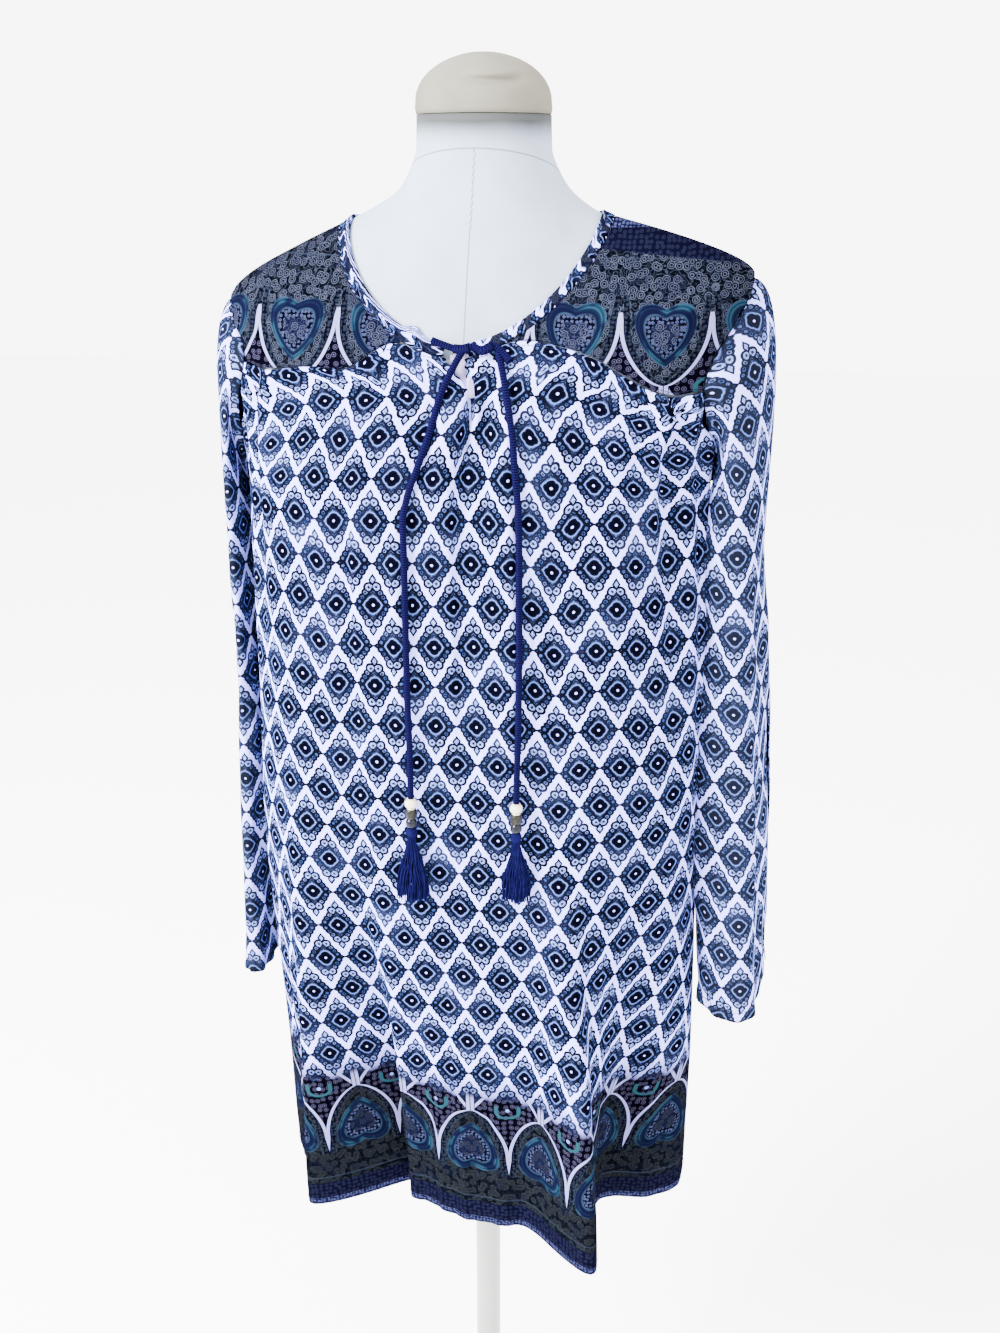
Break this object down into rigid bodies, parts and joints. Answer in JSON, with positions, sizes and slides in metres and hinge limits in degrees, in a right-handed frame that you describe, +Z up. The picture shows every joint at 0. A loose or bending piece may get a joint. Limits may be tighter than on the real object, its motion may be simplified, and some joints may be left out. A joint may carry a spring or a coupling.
{
  "type": "tunic dress on a limbless dress form",
  "caption": "Long-sleeved boho tunic dress, blue and white print, dark yokes, tasselled neck tie, on a cream dress form.",
  "frame": {"origin": "centre of the stand base's underside, on the floor", "axes": "+Z up, the tunic's front faces -Y, the wearer's left is +X"},
  "size_m": [0.4893, 0.38, 1.496],
  "materials": {
    "print": "matte",
    "dark_print": "matte",
    "facing": "matte",
    "cord": "matte",
    "tassel": "matte",
    "white_bead": "gloss",
    "metal_bead": "satin",
    "dark_bead": "gloss",
    "form_cloth": "matte",
    "form_cover": "matte",
    "stand": "satin"
  },
  "bodies": {
    "root": {"front_body": "print", "back_body": "print", "front_yoke_left": "dark_print", "front_yoke_right": "dark_print", "back_yoke": "dark_print", "sleeve_left": "print", "sleeve_right": "print", "neck_binding": "print", "slit_facing": "facing", "tie_knot": "cord", "tie_tail_left": "cord", "tie_tail_right": "cord", "white_bead_left": "white_bead", "white_bead_right": "white_bead", "metal_bead_left": "metal_bead", "metal_bead_right": "metal_bead", "dark_bead_left": "dark_bead", "dark_bead_right": "dark_bead", "tassel_left": "tassel", "tassel_right": "tassel", "form_torso": "form_cloth", "form_neck_cover": "form_cover", "form_pole": "stand", "form_base": "stand"}
  },
  "joints": []
}
